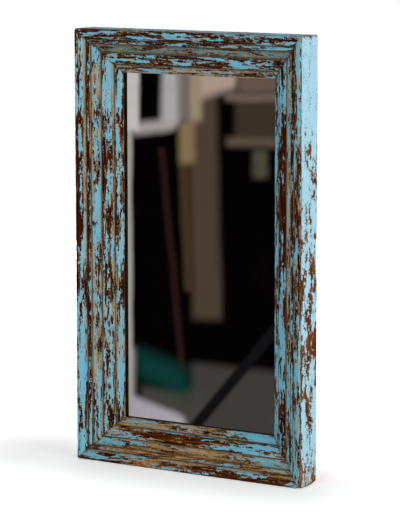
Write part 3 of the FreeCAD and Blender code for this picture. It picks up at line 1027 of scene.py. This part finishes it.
@dataclass(frozen=True)
class Weathering:
    """How far use has moved the timber's surface and worn its paint."""

    noise_step: float = 5.7
    grain_step: float = 11.3
    rub: float = 0.25 * MM
    chip: float = 1.1 * MM
    chip_pitch: float = 13 * MM
    chip_width: float = 25 * MM
    wave: float = 0.22 * MM
    wave_pitch: float = 60 * MM
    wave_step: float = 2.0
    seam: float = 0.35 * MM
    seam_reach: float = 1.4 * MM
    seam_wear_reach: float = 2.24 * MM
    corner_radius: float = 4.0 * MM
    flake_spread: float = 0.064
    rub_spread: float = 0.075
    arris_flaked: float = 1.2
    arris_rubbed: float = 0.8
    crease_rubbed: float = 0.7
    # Wash along creases, and the darker core right in them: grime and painted shade.
    crease_grime_and_shade: float = 0.20
    crease_core: int = 8
    crease_core_grime_and_shade: float = 0.9
    seam_flaked: float = 0.8
    seam_rubbed: float = 0.6
    seam_washed: float = 0.5
    edge_wear: float = 1.1
    edge_reach: float = 13 * MM
    side_grain: Spot = (0.55, 1.25)
    # The outer side faces are paler, by fading and a painted sheen; the left stile is a little paler all over.
    faded_side: float = 0.95
    faded_left: float = 0.30
    foot_depth: float = 30 * MM
    foot_height: float = 9 * MM
    foot_reach: float = 45 * MM
    foot_radius: float = 8 * MM


@dataclass
class MouldingBar:
    """One mitred bar of moulding on one side of the frame.

    Attributes:
        name: The node that it stands for.
        side: The side of the frame.
        outline: The section's points.
        width: The overall width of the frame.
        height: The overall height of the frame.
        depth: The depth of the frame.
        front: The place of the frame's front along Y.
        step: The spacing of points along the run.
        weathering: How the timber is worn.
    """

    name: str
    side: Side
    outline: list[ProfilePoint]
    width: float
    height: float
    depth: float
    front: float
    step: float = 2.3 * MM
    weathering: Weathering = Weathering()

    @property
    def length(self) -> float:
        """Length of the side along the frame's outer edge."""
        return self.height if self.side in (Side.LEFT, Side.RIGHT) else self.width

    def place(self, run: float, inset: float, depth: float) -> Vector:
        """Turn a run, inset and depth into a place in space.

        Args:
            run: The distance along the side.
            inset: The distance from the outer edge.
            depth: The distance behind the front.

        Returns:
            The place.
        """
        if self.side is Side.LEFT:
            return Vector((inset - self.width / 2, self.front + depth, run))
        if self.side is Side.RIGHT:
            return Vector((self.width / 2 - inset, self.front + depth, run))
        if self.side is Side.BOTTOM:
            return Vector((run - self.width / 2, self.front + depth, inset))
        return Vector((run - self.width / 2, self.front + depth, self.height - inset))

    def rounded(self, spot: Vector) -> Vector:
        """Round off the frame's corners and the foot that has been knocked most.

        Args:
            spot: A place on the frame.

        Returns:
            The place after wear.
        """
        worn = self.weathering
        radius = worn.corner_radius
        from_side = self.width / 2 - abs(spot.x)
        from_end = min(spot.z, self.height - spot.z)
        if from_side < radius and from_end < radius:
            reach = Vector((radius - from_side, radius - from_end))
            if reach.length > radius:
                reach *= radius / reach.length
                spot.x = math.copysign(self.width / 2 - radius + reach.x, spot.x)
                end = radius - reach.y
                spot.z = end if spot.z < self.height / 2 else self.height - end
        aside = self.width / 2 - spot.x
        reach = Vector((worn.foot_radius - gap for gap in (aside, spot.y - self.front, spot.z)))
        if min(reach) > 0.0 and reach.length > worn.foot_radius:
            reach *= worn.foot_radius / reach.length
            inward = [worn.foot_radius - part for part in reach]
            spot = Vector((self.width / 2 - inward[0], self.front + inward[1], inward[2]))
            aside = inward[0]
        behind = self.depth + self.front - spot.y
        if behind < worn.foot_depth and spot.z < worn.foot_height and aside < worn.foot_reach:
            share = (worn.foot_depth - behind) / worn.foot_depth
            lift = worn.foot_height * (1.0 - math.sqrt(max(0.0, 1.0 - share * share)))
            lift *= (1.0 - aside / worn.foot_reach) ** 2
            spot.z += lift * (1.0 - spot.z / worn.foot_height)
        return spot

    def near_mitre(self, point: ProfilePoint, run: float, reach: float) -> float:
        """How near a point is to the nearer mitre, from 0 beyond the reach to 1 on it."""
        apart = min(run - point.inset, self.length - point.inset - run)
        return math.exp(-((apart / reach) ** 2))

    def sunk(self, point: ProfilePoint, run: float) -> float:
        """Work out how far wear has taken the surface in.

        Args:
            point: The outline point.
            run: The distance along the side.

        Returns:
            The depth of wear, negative where the surface swells.
        """
        worn = self.weathering
        if point.zone is Zone.HIDDEN:
            return 0.0
        seed = self.side.value * worn.noise_step
        spot = Vector((run / worn.chip_pitch, point.travel / worn.chip_width, seed))
        chipped = max(0.0, noise.fractal(spot, 1.0, 2.0, 3))
        spot = Vector((run / worn.wave_pitch, point.travel / worn.wave_pitch, seed + worn.wave_step))
        wave = noise.noise(spot)
        seam = self.near_mitre(point, run, worn.seam_reach)
        return point.arris * (worn.rub + worn.chip * chipped) + worn.wave * (0.5 + wave) + worn.seam * seam

    def wear_at(self, point: ProfilePoint, run: float) -> tuple[float, float, float]:
        """Work out how the paint is worn at a point.

        Args:
            point: The outline point.
            run: The distance along the side.

        Returns:
            How far the paint is flaked, the wood rubbed bare, and the wash and painted shade left.
        """
        worn = self.weathering
        band = BAND_WEAR[self.side].get(point.zone, BandWear())
        flaked, rubbed, washed_and_shaded = log_odds(band.flaked), log_odds(band.rubbed), band.washed_and_shaded
        for patch in WEAR_PATCHES[self.side].get(point.zone, []):
            near = patch.nearness(point, run)
            flaked += patch.flaked * near
            rubbed += patch.rubbed * near
        if point.zone is Zone.SIDE:
            from_edge = min(point.depth, self.depth - point.depth)
            flaked += worn.edge_wear * max(0.0, 1.0 - from_edge / worn.edge_reach)
        seam = self.near_mitre(point, run, worn.seam_wear_reach)
        flaked += worn.arris_flaked * point.arris + worn.seam_flaked * seam
        rubbed += worn.arris_rubbed * point.arris + worn.seam_rubbed * seam
        rubbed += worn.crease_rubbed * point.crease
        # Wash in creases and at the mitres; in the creases it is also painted shade.
        washed_and_shaded += worn.crease_grime_and_shade * point.crease + worn.seam_washed * seam
        washed_and_shaded += worn.crease_core_grime_and_shade * point.crease**worn.crease_core
        return flaked * worn.flake_spread, rubbed * worn.rub_spread, washed_and_shaded

    def faded_at(self, point: ProfilePoint) -> float:
        """Work out how pale the paint is: bleached by light, and on the outer side faces also a painted sheen.

        Args:
            point: The outline point.

        Returns:
            The share, from 0 to 1.
        """
        if point.zone is Zone.SIDE:
            return self.weathering.faded_side
        return self.weathering.faded_left if self.side is Side.LEFT else 0.0

    def finish_at(self, point: ProfilePoint, run: float) -> dict[str, float]:
        """Work out what the finish reads at a point.

        Args:
            point: The outline point.
            run: The distance along the side.

        Returns:
            The values of the mesh's attributes.
        """
        flaked, rubbed, washed_and_shaded = self.wear_at(point, run)
        return {
            "wear": flaked,
            "rub": rubbed,
            "grime": washed_and_shaded,
            "faded": self.faded_at(point),
            "golden": float(self.side is Side.BOTTOM or point.zone is Zone.SIDE),
            "sawn": float(point.zone in (Zone.BACK, Zone.HIDDEN)),
        }

    def swept(self) -> tuple[bmesh.types.BMesh, bmesh.types.BMLayerItem]:
        """Extrude the outline along Z from 0 to 1, cut it into steps and close its ends.

        Returns:
            The bmesh and the vertex layer that holds each vertex's place in the outline.
        """
        shape = bmesh.new()
        order = shape.verts.layers.int.new("outline")
        ring = [shape.verts.new((point.inset, point.depth, 0.0)) for point in self.outline]
        for index, vertex in enumerate(ring):
            vertex[order] = index
            shape.edges.new((vertex, ring[(index + 1) % len(ring)]))
        grown = bmesh.ops.extrude_edge_only(shape, edges=shape.edges[:])["geom"]
        far = [item for item in grown if isinstance(item, bmesh.types.BMVert)]
        bmesh.ops.translate(shape, verts=far, vec=(0.0, 0.0, 1.0))
        long_edges = [edge for edge in shape.edges if edge.verts[0].co.z != edge.verts[1].co.z]
        cuts = round(self.length / self.step)
        bmesh.ops.subdivide_edges(shape, edges=long_edges, cuts=cuts, use_grid_fill=True)
        bmesh.ops.holes_fill(shape, edges=[edge for edge in shape.edges if edge.is_boundary], sides=0)
        return shape, order

    def build(self) -> bpy.types.Object:
        """Sweep the outline along the side, mitre it, wear it and note its wear.

        Returns:
            The finished piece.
        """
        shape, order = self.swept()
        grain_layer = shape.verts.layers.float_vector.new("grain")
        names = ("wear", "rub", "grime", "faded", "golden", "sawn")
        layers = {name: shape.verts.layers.float.new(name) for name in names}
        seed = self.side.value * self.weathering.grain_step
        for vertex in shape.verts:
            point = self.outline[vertex[order]]
            run = point.inset + vertex.co.z * (self.length - 2.0 * point.inset)
            sunk = self.sunk(point, run)
            inset = point.inset - point.normal[0] * sunk
            depth = point.depth - point.normal[1] * sunk
            vertex.co = self.rounded(self.place(run, inset, depth))
            finer = self.weathering.side_grain if point.zone is Zone.SIDE else (1.0, 1.0)
            vertex[grain_layer] = (point.travel * finer[0], run * finer[1], seed)
            for name, value in self.finish_at(point, run).items():
                vertex[layers[name]] = value
        bmesh.ops.recalc_face_normals(shape, faces=shape.faces)
        return mesh_object("painted_" + self.name, shape)


def mesh_object(name: str, shape: bmesh.types.BMesh) -> bpy.types.Object:
    """Turn a finished bmesh into an object at the origin, with smooth faces and crisp arrises.

    Args:
        name: The object's name.
        shape: The bmesh, which is freed.

    Returns:
        The new object.
    """
    mesh = bpy.data.meshes.new(name)
    shape.to_mesh(mesh)
    shape.free()
    mesh.shade_smooth()
    mesh.set_sharp_from_angle(angle=CRISP_ANGLE)
    piece = bpy.data.objects.new(name, mesh)
    bpy.context.scene.collection.objects.link(piece)
    return piece


@dataclass
class PaintedFrame:
    """The eight painted mouldings."""

    body: str = "frame"
    slot: str = "painted_wood"
    sizes: MouldingSizes = MouldingSizes()
    finish: FlakedPaint = FlakedPaint()

    def build(self) -> None:
        """Build and dress every moulding, hang it on the frame's body and hide the part that it stands for."""
        low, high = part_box("left_stile")
        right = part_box("right_stile")[1]
        floor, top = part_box("bottom_rail")[0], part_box("top_rail")[1]
        sizes = {
            "width": right[0] - low[0],
            "height": top[2] - floor[2],
            "depth": high[1] - low[1],
            "front": low[1],
        }
        outer = self.sizes.outer(sizes["depth"])
        inner = self.sizes.inner(sizes["depth"])
        material = self.finish.material()
        for side in Side:
            word = side.name.lower()
            kind = "_stile" if side in (Side.LEFT, Side.RIGHT) else "_rail"
            for node, outline in ((word + kind, outer), (word + "_inner_moulding", inner)):
                piece = MouldingBar(node, side, outline, **sizes).build()
                piece.data.materials.append(material)
                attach(piece, self.body)
                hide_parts(node)
                LOG.info("moulding %s: %d faces", piece.name, len(piece.data.polygons))


@dataclass
class MirrorGlass:
    """The glass, with ground edges, kept a hair clear of the silver so that light reaches the silver."""

    body: str = "frame"
    node: str = "mirror_glass"
    slot: str = "glass"
    clearance: float = 0.06 * MM
    ground: float = 0.7 * MM
    finish: ClearGlass = ClearGlass()

    def build(self) -> None:
        """Build and dress the glass, hang it on the frame's body and hide the part that it stands for."""
        low, high = (Vector(corner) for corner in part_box(self.node))
        high.y -= self.clearance
        shape = bmesh.new()
        bmesh.ops.create_cube(shape, size=1.0)
        bmesh.ops.scale(shape, vec=high - low, verts=shape.verts)
        bmesh.ops.translate(shape, vec=(low + high) / 2, verts=shape.verts)
        bmesh.ops.bevel(
            shape,
            geom=shape.edges[:],
            offset=self.ground,
            affect="EDGES",
            segments=1,
            profile=0.5,
            material=-1,
        )
        piece = mesh_object("clear_" + self.node, shape)
        piece.data.materials.append(self.finish.material())
        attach(piece, self.body)
        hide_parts(self.node)
        LOG.info("glass %s: %d faces", piece.name, len(piece.data.polygons))


# Carried-over pieces


@dataclass
class Dressing:
    """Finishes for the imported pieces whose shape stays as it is."""

    nodes: dict[str, bpy.types.Object]

    def dress(self, names: Iterable[str], material: bpy.types.Material) -> None:
        """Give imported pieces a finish.

        Args:
            names: The pieces' names.
            material: The finish.
        """
        for name in names:
            for slot in self.nodes[name].material_slots:
                slot.material = material
            LOG.info("dressed %s in %s", name, material.name)

    def dress_all(self) -> None:
        """Dress the silvering, the back, the fixings and the hangers."""
        ends = [end + "_" + side for end in ("top", "bottom") for side in ("left", "right")]
        hangers = [side + "_hanger_" + part for side in ("left", "right") for part in ("strap", "ring")]
        beech = GrainedSheet("beech", (0.55, 0.37, 0.21), (0.38, 0.23, 0.11), (60.0, 60.0, 240.0))
        ply = GrainedSheet("plywood", (0.50, 0.345, 0.20), (0.33, 0.20, 0.10), (55.0, 55.0, 4.0))
        card = GrainedSheet("grey_board", (0.40, 0.36, 0.30), (0.29, 0.25, 0.20), (300.0, 300.0, 300.0))
        bright = PlatedSteel("zinc_plate", (0.68, 0.68, 0.67), (0.40, 0.39, 0.37))
        yellow = PlatedSteel("yellow_zinc", (0.62, 0.55, 0.40), (0.33, 0.28, 0.20))
        self.dress(["silver_coating"], SilverFilm().material())
        self.dress([end + "_biscuits" for end in ends], beech.material())
        self.dress(["back_panel"], ply.material())
        self.dress(["backing_card"], card.material())
        steel = ["inner_mitre_nails", "inner_moulding_screws", "back_panel_screws"]
        self.dress(steel, bright.material())
        self.dress([*hangers, "hanger_screws"], yellow.material())
        self.dress(["setting_blocks", "location_blocks", "wall_bumpers"], BlackRubber().material())


# Studio


@dataclass(frozen=True)
class Lamp:
    """One square soft box."""

    name: str
    place: Triple
    target: Triple
    size: float
    power: float

    def build(self) -> None:
        """Add the lamp, hidden from the camera and the mirror."""
        light = bpy.data.lights.new(self.name, "AREA")
        light.size = self.size
        light.energy = self.power
        lamp = bpy.data.objects.new(self.name, light)
        lamp.location = self.place
        aim = Vector(self.target) - Vector(self.place)
        lamp.rotation_euler = aim.to_track_quat("-Z", "Y").to_euler()
        lamp.visible_camera = False
        lamp.visible_glossy = False
        bpy.context.scene.collection.objects.link(lamp)


@dataclass(frozen=True)
class SoftTone:
    """A soft-edged patch of light or dark that the mirror shows, in half widths and heights of its view.

    Attributes:
        left: Its left edge.
        right: Its right edge.
        low: Its lower edge.
        high: Its upper edge.
        colour: Its colour.
        lean: How far it shifts to the right for each unit up.
        tilt: How far it shifts up for each unit to the right.
        blur: How soft its left and right edges are.
        squeeze: How soft its lower and upper edges are beside those.
    """

    left: float
    right: float
    low: float
    high: float
    colour: Colour
    lean: float = 0.0
    tilt: float = 0.0
    blur: float = 0.08
    squeeze: float = 0.45

    def share(self, across: Signal, up: Signal) -> Signal:
        """Work out how much of the patch is seen in a direction.

        Args:
            across: The place across the mirror's view.
            up: The place up the mirror's view.

        Returns:
            The patch's share, from 0 to 1.
        """
        soft, flat = self.blur, self.blur * self.squeeze
        along = across - up * self.lean
        level = up - across * self.tilt
        from_left = along.smooth(self.left - soft, self.left + soft)
        from_right = along.smooth(self.right + soft, self.right - soft)
        from_low = level.smooth(self.low - flat, self.low + flat)
        from_high = level.smooth(self.high + flat, self.high - flat)
        return from_left * from_right * (from_low * from_high)


@dataclass(frozen=True)
class Studio:
    """Pale floor, soft boxes, surroundings and camera."""

    image_width: int = 400
    image_height: int = 513
    sensor: float = 36.0
    focal_pixels: float = 2803.0
    camera_place: Triple = (2.6332, -3.9345, 1.0198)
    yaw: float = 33.662
    pitch: float = 7.784
    roll: float = -0.085
    ambient: float = 0.33
    floor_size: float = 4.0
    floor_white: float = 0.95
    floor_roughness: float = 0.9
    floor_speck: float = 0.985
    floor_grain: Triple = (60.0, 60.0, 60.0)
    floor_lift: float = 0.32
    floor_fade: float = 0.42
    shade_middle: Spot = (-0.05, -0.02)
    shade_half_width: float = 0.27
    shade_reach: float = 0.32
    clear_ahead: Limits = (0.03, 0.10)
    white_behind: Limits = (-0.1, 0.2)
    least_along: float = 0.05
    view_half_width: float = 73.5
    view_half_height: float = 177.0
    view_rise: float = 0.022
    wobble_scale: Triple = (90.0, 90.0, 40.0)
    wobble_across: float = 0.05
    wobble_up: float = 0.03
    haze_scale: Triple = (42.0, 42.0, 11.0)
    haze: Colour = (0.014, 0.007, 0.005)
    lamps: tuple[Lamp, ...] = (
        Lamp("key_box", (2.55, -0.70, 0.65), (0.0, 0.0, 0.38), 1.3, 38.0),
        Lamp("front_box", (0.75, -3.0, 0.55), (0.0, 0.0, 0.38), 1.6, 60.0),
        Lamp("back_box", (-1.9, 2.4, 0.55), (0.0, 0.0, 0.38), 1.6, 36.0),
    )
    surround_base: Colour = (0.0012, 0.0008, 0.0008)
    plain_low: Colour = (0.60, 0.60, 0.59)
    plain_high: Colour = (0.28, 0.29, 0.30)
    plain_from: Limits = (1.6, 4.0)
    plain_fade: Limits = (-0.35, 0.45)
    tones: tuple[SoftTone, ...] = (
        SoftTone(-0.12, 0.27, -0.38, 0.92, (0.075, 0.050, 0.034), lean=-0.06, blur=0.09),
        SoftTone(-0.24, -0.10, -0.22, 0.50, (0.055, 0.032, 0.016), lean=-0.10, blur=0.06),
        SoftTone(-0.10, 0.50, 0.87, 1.20, (0.420, 0.320, 0.265), tilt=0.12, blur=0.10),
        SoftTone(-0.28, -0.08, 0.50, 0.74, (0.235, 0.165, 0.088)),
        SoftTone(-0.18, 0.02, 0.74, 1.20, (0.330, 0.250, 0.165)),
        SoftTone(0.48, 1.20, 0.64, 0.88, (0.045, 0.033, 0.020)),
        SoftTone(0.36, 1.20, 0.60, 0.65, (0.110, 0.082, 0.062)),
        SoftTone(0.34, 1.20, 0.86, 0.90, (0.180, 0.135, 0.110)),
        SoftTone(0.52, 1.20, 0.90, 1.20, (0.130, 0.090, 0.075), blur=0.08),
        SoftTone(0.72, 0.92, 0.42, 0.58, (0.075, 0.068, 0.046)),
        SoftTone(-0.33, -0.15, 0.74, 1.20, (0.170, 0.148, 0.135)),
        SoftTone(-0.92, -0.32, 0.72, 0.785, (0.380, 0.345, 0.330), tilt=0.06),
        SoftTone(-0.52, -0.30, 0.73, 1.20, (0.420, 0.390, 0.400)),
        SoftTone(-0.44, -0.34, -0.66, 0.60, (0.018, 0.007, 0.006), lean=-0.22, blur=0.04),
        SoftTone(-0.12, 1.20, -1.20, -0.63, (0.050, 0.046, 0.042), tilt=-0.04, blur=0.09),
        SoftTone(-0.80, 0.10, -1.20, -0.78, (0.056, 0.053, 0.044), tilt=-0.03),
        SoftTone(-0.88, -0.16, -0.84, -0.68, (0.004, 0.040, 0.034), tilt=-0.16, blur=0.15),
        SoftTone(-1.20, -0.90, -0.96, -0.54, (0.300, 0.275, 0.265)),
        SoftTone(-1.20, -0.20, -1.40, -0.96, (0.390, 0.370, 0.410), tilt=-0.16),
        SoftTone(-1.20, -0.92, -1.20, 1.20, (0.350, 0.338, 0.322), blur=0.045),
        SoftTone(-1.20, -0.83, 0.69, 1.20, (0.530, 0.520, 0.500), blur=0.05),
        SoftTone(1.80, 1.99, -1.05, -0.40, (0.006, 0.006, 0.007), lean=2.0, blur=0.05),
    )

    def build_camera(self) -> None:
        """Stand the camera at the viewing angle."""
        camera = bpy.data.cameras.new("camera")
        camera.sensor_width = self.sensor
        camera.lens = self.focal_pixels / max(self.image_width, self.image_height) * self.sensor
        stand = bpy.data.objects.new("camera", camera)
        stand.matrix_world = Matrix.Translation(self.camera_place) @ self.camera_turn()
        bpy.context.scene.collection.objects.link(stand)
        bpy.context.scene.camera = stand

    def floor_light(self, graph: Graph, place: Signal) -> Signal:
        """Work out how much light of its own the floor shows, which is least about the foot, as a painted
        shadow there.

        Args:
            graph: The floor's graph.
            place: The place on the floor.

        Returns:
            The strength of the light.
        """
        across = graph.part(place, "X") - self.shade_middle[0]
        before = graph.part(place, "Y") - self.shade_middle[1]
        aside = (across.math("ABSOLUTE") - self.shade_half_width).math("MAXIMUM", 0.0)
        reach = (aside * aside + before * before).math("SQRT").smooth(0.0, self.shade_reach)
        return reach * self.floor_fade + self.floor_lift

    def build_floor(self) -> None:
        """Lay the pale floor: it keeps the shadow, is white to the camera and clear to the mirror."""
        shape = bmesh.new()
        bmesh.ops.create_grid(shape, x_segments=1, y_segments=1, size=self.floor_size)
        floor = mesh_object("floor", shape)
        material, graph = new_material("studio_floor")
        place = graph.local()
        mirrored = graph.mirrored_ray()
        seen = graph.ray("Is Camera Ray").math("MAXIMUM", mirrored)
        speck = graph.noise(graph.scaled(place, self.floor_grain), 3.0).smooth(0.0, 0.4)
        white = [self.floor_white] * 3
        glow = graph.mix(seen * self.floor_light(graph, place), BLACK, WHITE)
        lit = graph.add(
            "ShaderNodeBsdfPrincipled",
            None,
            {
                "Base Color": graph.mix(speck, white, [self.floor_speck * part for part in white]),
                "Roughness": self.floor_roughness,
                "Emission Color": glow,
                "Emission Strength": 1.0,
            },
        )
        clear = graph.add("ShaderNodeBsdfTransparent")
        ahead = graph.part(place, "Y") * -1.0
        share = mirrored * ahead.smooth(*self.clear_ahead)
        surface = graph.add("ShaderNodeMixShader", None, {0: share, 1: lit, 2: clear})
        graph.node("ShaderNodeOutputMaterial", None, {"Surface": surface})
        floor.data.materials.append(material)

    def camera_turn(self) -> Matrix:
        """Turn the camera from looking down to the viewing angle.

        Returns:
            The camera's rotation.
        """
        turn = Matrix.Rotation(math.radians(self.yaw), 4, "Z")
        tilt = Matrix.Rotation(math.radians(90.0 - self.pitch), 4, "X")
        return turn @ tilt @ Matrix.Rotation(math.radians(self.roll), 4, "Z")

    def surroundings(self, graph: Graph, way: Signal) -> Signal:
        """Colour what the mirror shows: blurred tones about the main view, and a plain studio elsewhere.

        Args:
            graph: The world's graph.
            way: The direction of a ray.

        Returns:
            The colour in that direction.
        """
        turn = self.camera_turn()
        columns = (turn.col[0], turn.col[1], -turn.col[2])
        axes = [Vector((column.x, -column.y, column.z)) for column in columns]
        across, up, along = (graph.dot(way, axis) for axis in axes)
        along = along.math("MAXIMUM", self.least_along)
        wobble = graph.noise(graph.scaled(way, self.wobble_scale), 2.0)
        across = across.math("DIVIDE", along) * (self.focal_pixels / self.view_half_width)
        across = across + wobble * self.wobble_across
        up = up.math("DIVIDE", along) * (self.focal_pixels / self.view_half_height)
        up = up + wobble * self.wobble_up - self.view_rise
        haze = graph.noise(graph.scaled(way, self.haze_scale), 2.0).smooth(0.10, 0.40)
        colour = graph.mix(haze, self.surround_base, self.haze)
        for tone in self.tones:
            colour = graph.mix(tone.share(across, up), colour, tone.colour)
        beyond = across.math("ABSOLUTE").math("MAXIMUM", up.math("ABSOLUTE")).smooth(*self.plain_from)
        height = graph.part(way, "Z").smooth(*self.plain_fade)
        plain = graph.mix(height, self.plain_low, self.plain_high)
        return graph.mix(beyond, colour, plain)

    def build_world(self) -> None:
        """Surround the object: white to the camera, plain light on the object, tones for the mirror."""
        world = bpy.data.worlds.new("studio")
        bpy.context.scene.world = world
        world.use_nodes = True
        graph = Graph(world.node_tree)
        way = graph.add("ShaderNodeTexCoord", output="Generated")
        ahead = graph.part(way, "Y") * -1.0
        shown = graph.mix(ahead.smooth(*self.white_behind), WHITE, self.surroundings(graph, way))
        light = graph.mix(graph.mirrored_ray(), [self.ambient] * 3, shown)
        colour = graph.mix(graph.ray("Is Camera Ray"), light, WHITE)
        surface = graph.add("ShaderNodeBackground", None, {"Color": colour, "Strength": 1.0})
        graph.node("ShaderNodeOutputWorld", None, {"Surface": surface})

    def build(self) -> None:
        """Build the floor, the lamps, the surroundings and the camera."""
        self.build_floor()
        for lamp in self.lamps:
            lamp.build()
        self.build_world()
        self.build_camera()
        bpy.context.scene.view_settings.view_transform = "Standard"


def main() -> None:
    """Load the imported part, dress it, and build the studio round it."""
    logging.basicConfig(level=logging.INFO, format="%(name)s: %(message)s")
    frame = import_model()
    PaintedFrame().build()
    MirrorGlass().build()
    Dressing(frame["nodes"]).dress_all()
    Studio().build()


if __name__ == "__main__":
    main()
